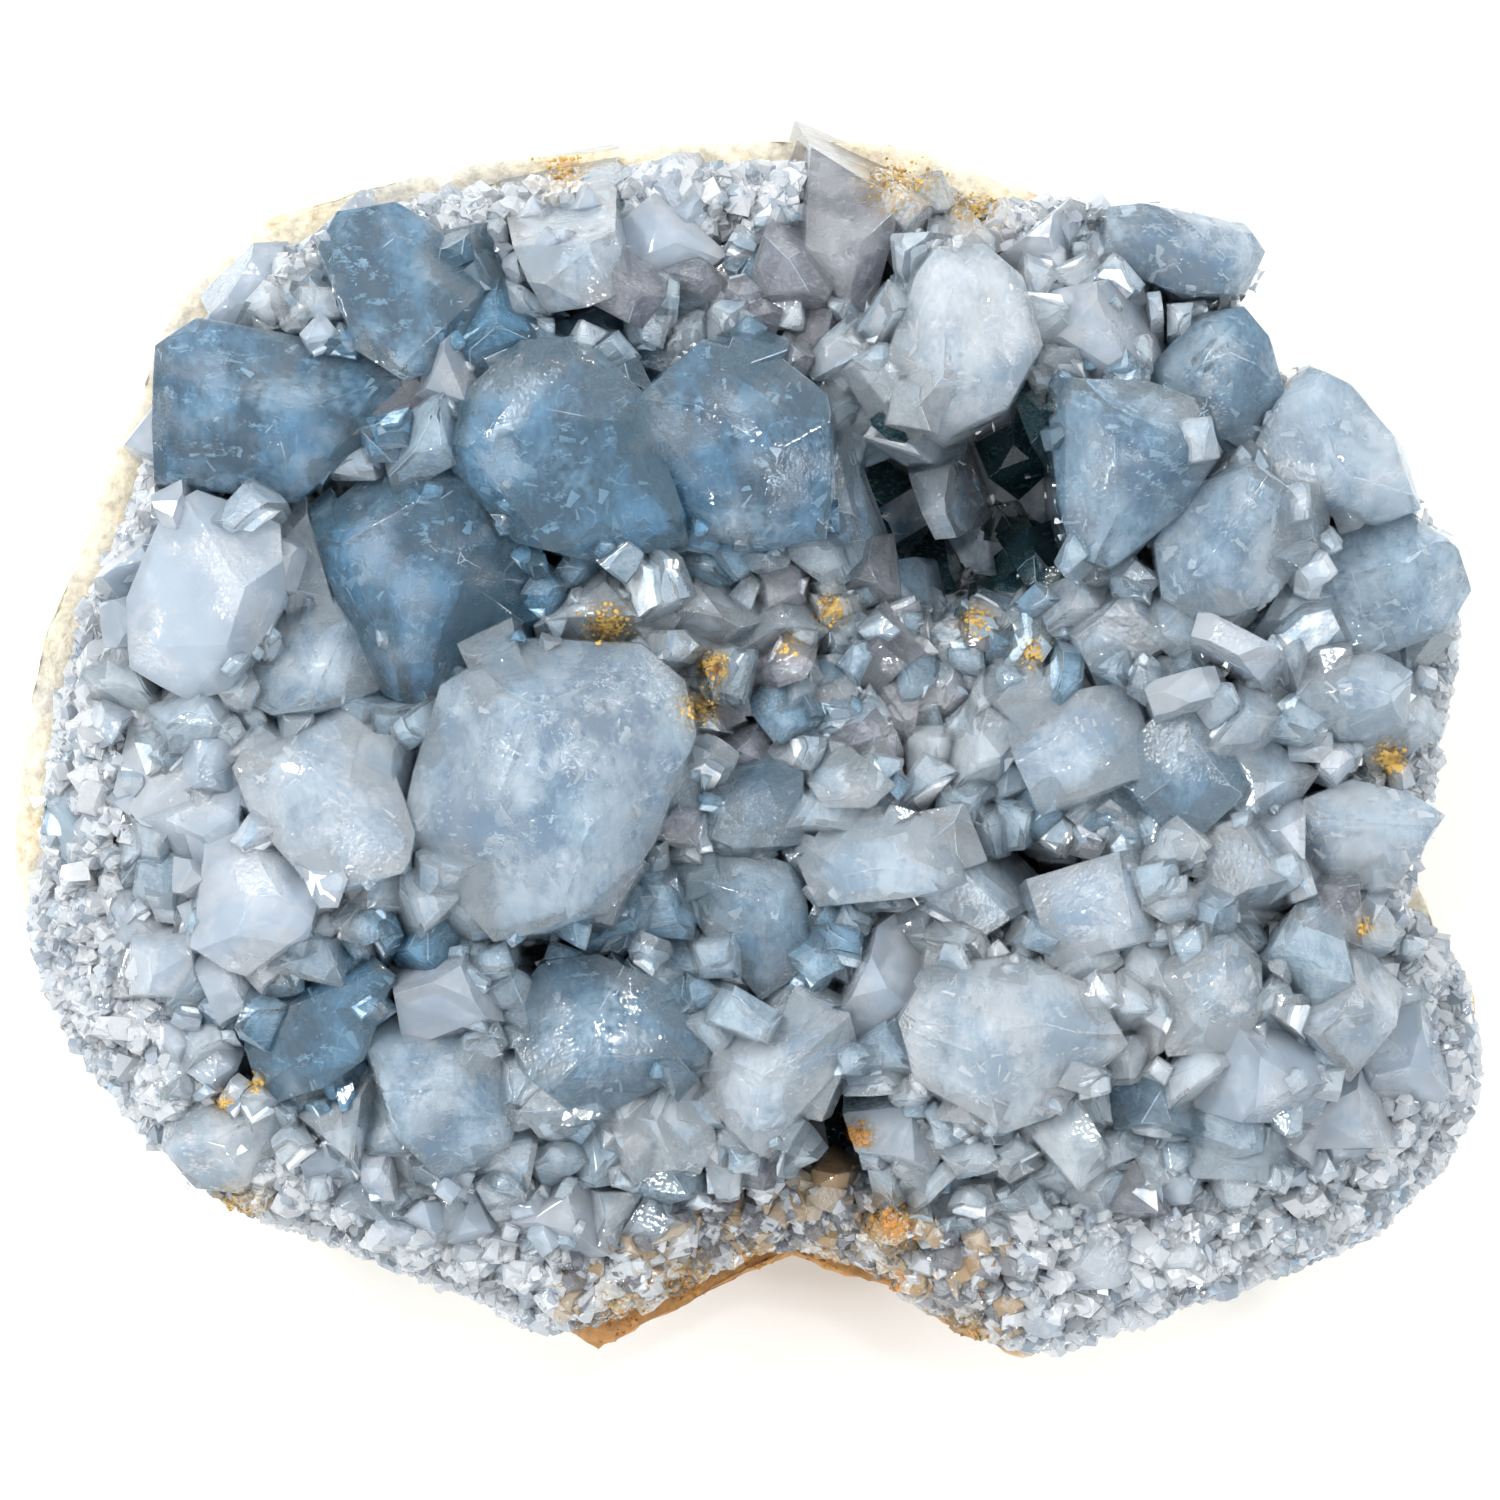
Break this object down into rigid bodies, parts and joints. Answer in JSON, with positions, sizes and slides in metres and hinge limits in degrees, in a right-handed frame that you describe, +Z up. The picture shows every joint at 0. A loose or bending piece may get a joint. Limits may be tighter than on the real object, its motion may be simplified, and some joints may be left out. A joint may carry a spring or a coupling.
{
  "type": "celestite crystal cluster",
  "caption": "Piece of geode wall lined with pale blue celestite crystals: a thin rock shell below, a crust of blocky clear and frosted crystals above, lying crystals up.",
  "frame": {"origin": "middle of the outline seen from above, on the surface that the rock rests on", "axes": "+X to the right along the longest side seen from above, +Y to the rim with the smooth rind, +Z up, the way the crystals point"},
  "size_m": [0.0989, 0.0834, 0.0384],
  "materials": {
    "geode_rock": "rough",
    "celestite": "clear to frosted"
  },
  "bodies": {
    "root": {"rock_matrix": "geode_rock", "celestite_crystals": "celestite"}
  },
  "joints": []
}
